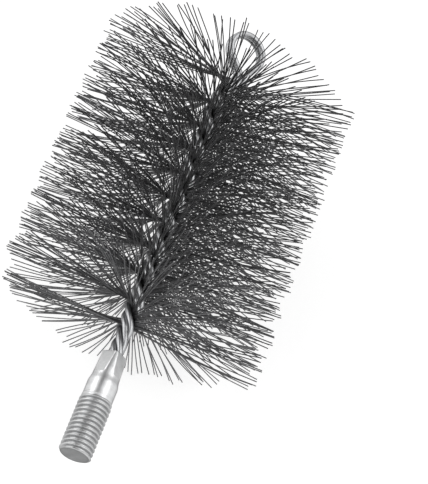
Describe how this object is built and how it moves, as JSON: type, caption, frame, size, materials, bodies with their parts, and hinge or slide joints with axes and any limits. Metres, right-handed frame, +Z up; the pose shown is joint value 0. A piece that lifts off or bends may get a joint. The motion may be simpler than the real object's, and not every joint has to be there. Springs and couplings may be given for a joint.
{
  "type": "chimney sweep brush",
  "caption": "Flue brush: round head of stiff steel bristles in a twisted double-wire stem, with a threaded crimped ferrule at one end and a wire eye at the other.",
  "frame": {"origin": "centre of the threaded ferrule's flat end face, on the stem's axis", "axes": "+X along the stem from the threaded end to the eye, +Z up with the brush lying on its bristles, +Y to the left seen from the threaded end"},
  "size_m": [0.1868, 0.101, 0.1005],
  "materials": {
    "zinc_plated_steel": "bright zinc plating over machined steel, with fine turning marks and a rolled thread",
    "galvanised_wire": "drawn galvanised steel wire, satin, with streaks along the wire",
    "spring_steel": "dark oil-tempered spring steel wire, satin"
  },
  "bodies": {
    "root": {"threaded_ferrule": "zinc_plated_steel", "stem_wire_a": "galvanised_wire", "stem_wire_b": "galvanised_wire", "bristles_1": "spring_steel", "bristles_2": "spring_steel", "bristles_3": "spring_steel", "bristles_4": "spring_steel"}
  },
  "joints": []
}
